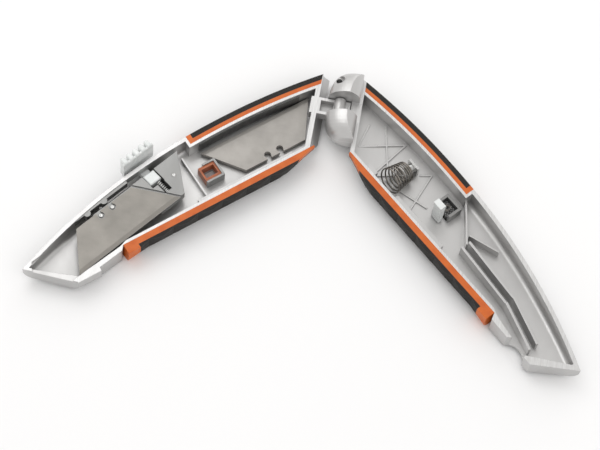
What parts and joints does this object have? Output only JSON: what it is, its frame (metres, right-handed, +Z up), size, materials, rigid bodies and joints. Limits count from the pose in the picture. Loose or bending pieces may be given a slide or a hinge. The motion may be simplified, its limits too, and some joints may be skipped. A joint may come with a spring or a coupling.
{
  "type": "utility knife",
  "caption": "Clam-shell retractable utility knife, swung open about its tail hinge to show the sliding blade, the spare blades and the springs inside.",
  "frame": {"origin": "centre of the open knife's box, on the surface it lies on", "axes": "+X across the open knife from the blade half to the lid half, +Y along the hinge axis to the spine side, +Z up out of the opened halves"},
  "size_m": [0.2556, 0.1335, 0.0198],
  "materials": {
    "casting": "satin die casting",
    "trim": "orange soft plastic",
    "rubber": "black moulded rubber",
    "blade_steel": "ground and oiled",
    "carrier_zinc": "bare zinc casting",
    "bright_steel": "bright",
    "spring_steel": "dark drawn wire",
    "dark_plate": "dark sheet",
    "keeper_plastic": "brown moulded",
    "button_plastic": "fine dotted grain",
    "pale_plastic": "pale moulded"
  },
  "bodies": {
    "base": {"base_shell": "casting", "base_spine_trim": "trim", "base_spine_grip": "rubber", "base_belly_trim": "trim", "base_belly_grip": "rubber", "magazine_plate": "dark_plate", "latch_keeper": "keeper_plastic", "keeper_bracket": "carrier_zinc", "detent_rail": "carrier_zinc", "spare_blade_1": "blade_steel", "spare_blade_2": "blade_steel", "spare_blade_3": "blade_steel"},
    "slide": {"blade_carrier": "carrier_zinc", "carrier_pegs": "bright_steel", "carrier_rivet": "bright_steel", "cutting_blade": "blade_steel", "thumb_spring": "bright_steel"},
    "thumb": {"thumb_button": "pale_plastic"},
    "lid": {"lid_shell": "casting", "hinge_pin": "bright_steel", "lid_spine_trim": "trim", "lid_spine_grip": "rubber", "lid_belly_trim": "trim", "lid_belly_grip": "rubber", "blade_spring": "spring_steel", "spring_clip": "bright_steel", "button_frame": "carrier_zinc", "release_spring": "spring_steel"},
    "release": {"release_button": "button_plastic"},
    "latch": {"latch_hook": "pale_plastic"}
  },
  "joints": [
    {"name": "lid_hinge", "type": "hinge", "parent": "base", "child": "lid", "pos_m": [0, 0.05065, 0.0105], "axis": [0, -1, 0], "range_deg": [0, 180]},
    {"name": "blade_slide", "type": "slide", "parent": "base", "child": "slide", "axis": [-0.6088, -0.7934, 0], "range_m": [0, 0.025]},
    {"name": "thumb_press", "type": "slide", "parent": "slide", "child": "thumb", "axis": [0.7934, -0.6088, 0], "range_m": [0, 0.0012], "stiffness_N_per_m": 800, "deforming": ["thumb_spring"]},
    {"name": "release_press", "type": "slide", "parent": "lid", "child": "release", "axis": [0, 0, 1], "range_m": [0, 0.0015], "stiffness_N_per_m": 600, "deforming": ["release_spring"]},
    {"name": "latch_slide", "type": "slide", "parent": "lid", "child": "latch", "axis": [0.6691, 0.7431, 0], "range_m": [0, 0.0015]}
  ],
  "couplings": [
    {"joint": "latch_slide", "follows": "release_press", "ratio": 0.8}
  ]
}
